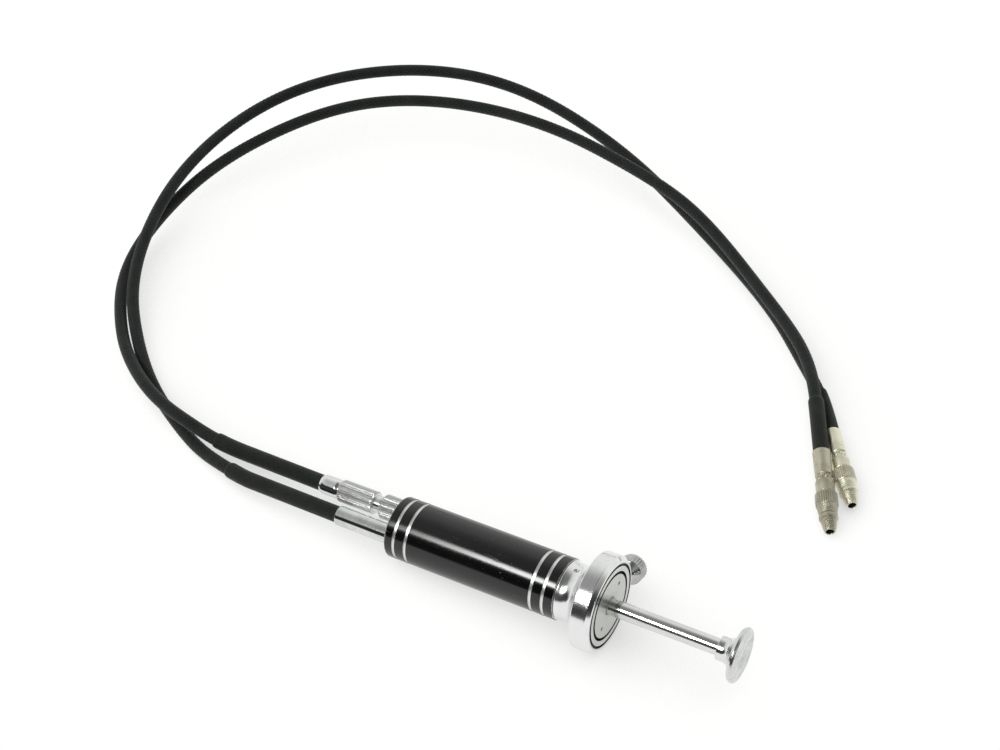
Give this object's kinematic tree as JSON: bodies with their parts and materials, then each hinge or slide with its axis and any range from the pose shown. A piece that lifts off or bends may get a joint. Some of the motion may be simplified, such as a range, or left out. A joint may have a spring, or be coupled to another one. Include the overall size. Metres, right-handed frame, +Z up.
{
  "type": "cable shutter release",
  "caption": "Twin cable shutter release: a thumb plunger in a black cylindrical handle with a finger flange pushes two woven-sheathed cables that end in knurled conical screw tips.",
  "frame": {"origin": "centre of the finger flange's front face, on the handle axis", "axes": "+Z up from the table the release rests on; the handle axis lies in the XZ plane, pointing to +X and 4.72 degrees upwards at the thumb button; the cables loop out to +Y"},
  "size_m": [0.213, 0.1679, 0.0239],
  "materials": {
    "anodised": "gloss black anodised aluminium",
    "aluminium": "turned and polished",
    "chrome": "polished chrome plate, lightly worn",
    "steel": "drawn steel wire and turned steel",
    "coil": "close-wound steel wire liner",
    "brass": "turned brass",
    "woven_sheath": "tightly woven black braid, matte",
    "sleeve": "black cloth-covered strain relief, satin",
    "nickel": "warm grey nickel plate, satin"
  },
  "bodies": {
    "handle": {"barrel": "anodised", "finger_flange": "aluminium", "front_plate": "aluminium", "flange_set_screw": "steel", "rear_plug": "steel", "fixed_ferrule": "chrome", "adjuster_stud": "steel", "strain_relief_f_handle": "sleeve", "cable_sheath_f_rear": "woven_sheath", "coil_liner_f_rear": "coil", "inner_wire_f_rear": "steel", "cable_sheath_t_mid": "woven_sheath", "coil_liner_t_mid": "coil", "inner_wire_t_mid": "steel", "return_spring": "steel"},
    "plunger": {"plunger_rod": "chrome", "plunger_button": "chrome", "pressure_plate": "brass", "piston_nut": "steel", "push_wire_f": "steel", "push_wire_t": "steel"},
    "lock_pad": {"lock_pad": "brass"},
    "lock_knob": {"lock_screw": "chrome"},
    "lock_nut": {"lock_nut": "chrome"},
    "adjuster_carriage": {"adjuster_ferrule": "chrome", "strain_relief_t_handle": "sleeve", "cable_sheath_t_rear": "woven_sheath", "coil_liner_t_rear": "coil"},
    "adjuster": {"adjuster_sleeve": "chrome"},
    "cable_end_f": {"cable_sheath_f_front": "woven_sheath", "coil_liner_f_front": "coil", "inner_wire_f_front": "steel", "strain_relief_f_tip": "sleeve", "tip_ferrule_f": "nickel", "tip_barrel_f": "nickel"},
    "tip_f": {"tip_collar_f": "nickel"},
    "pin_f": {"tip_pin_f": "steel"},
    "cable_end_t": {"cable_sheath_t_front": "woven_sheath", "coil_liner_t_front": "coil", "inner_wire_t_front": "steel", "strain_relief_t_tip": "sleeve", "tip_ferrule_t": "nickel", "tip_barrel_t": "nickel"},
    "tip_t": {"tip_collar_t": "nickel"},
    "pin_t": {"tip_pin_t": "steel"}
  },
  "joints": [
    {"name": "plunger_press", "type": "slide", "parent": "handle", "child": "plunger", "axis": [-0.9966, 0, -0.0822], "range_m": [0, 0.016], "stiffness_N_per_m": 40, "deforming": ["return_spring"]},
    {"name": "lock_pad_travel", "type": "slide", "parent": "handle", "child": "lock_pad", "axis": [-0.0261, -0.9483, 0.3162], "range_m": [0, 0.0005]},
    {"name": "lock_screw_turn", "type": "hinge", "parent": "lock_pad", "child": "lock_knob", "pos_m": [-0.00274, 0, -0.00023], "axis": [-0.0261, -0.9483, 0.3162], "range_deg": [0, 360]},
    {"name": "lock_nut_turn", "type": "hinge", "parent": "handle", "child": "lock_nut", "pos_m": [-0.0598, 0.00395, -0.00493], "axis": [-0.9966, 0, -0.0822], "range_deg": [-180, 180]},
    {"name": "adjuster_travel", "type": "slide", "parent": "handle", "child": "adjuster_carriage", "axis": [-0.9966, 0, -0.0822], "range_m": [0, 0.002]},
    {"name": "adjuster_turn", "type": "hinge", "parent": "adjuster_carriage", "child": "adjuster", "pos_m": [-0.06976, 0.00395, -0.00576], "axis": [-0.9966, 0, -0.0822], "range_deg": [0, 1440]},
    {"name": "cable_flex_f", "type": "hinge", "parent": "handle", "child": "cable_end_f", "pos_m": [-0.00658, 0.11391, -0.0105], "axis": [0, 0, 1], "range_deg": [0, 25]},
    {"name": "cable_flex_t", "type": "hinge", "parent": "handle", "child": "cable_end_t", "pos_m": [-0.00116, 0.10829, -0.00676], "axis": [0, 0, 1], "range_deg": [-25, 0]},
    {"name": "tip_turn_f", "type": "hinge", "parent": "cable_end_f", "child": "tip_f", "pos_m": [0.02119, 0.08266, -0.00929], "axis": [0.5657, -0.8246, 0], "continuous": true},
    {"name": "tip_turn_t", "type": "hinge", "parent": "cable_end_t", "child": "tip_t", "pos_m": [0.0219, 0.0736, -0.00745], "axis": [0.4736, -0.8772, -0.0786], "continuous": true},
    {"name": "pin_out_f", "type": "slide", "parent": "cable_end_f", "child": "pin_f", "axis": [0.5657, -0.8246, 0], "range_m": [0, 0.016]},
    {"name": "pin_out_t", "type": "slide", "parent": "cable_end_t", "child": "pin_t", "axis": [0.4736, -0.8772, -0.0786], "range_m": [0, 0.016]}
  ],
  "couplings": [
    {"joint": "pin_out_f", "follows": "plunger_press", "ratio": 1},
    {"joint": "pin_out_t", "follows": "plunger_press", "ratio": 1},
    {"joint": "lock_screw_turn", "follows": "lock_pad_travel", "rad_per_m": 12566},
    {"joint": "adjuster_turn", "follows": "adjuster_travel", "rad_per_m": 12566}
  ]
}
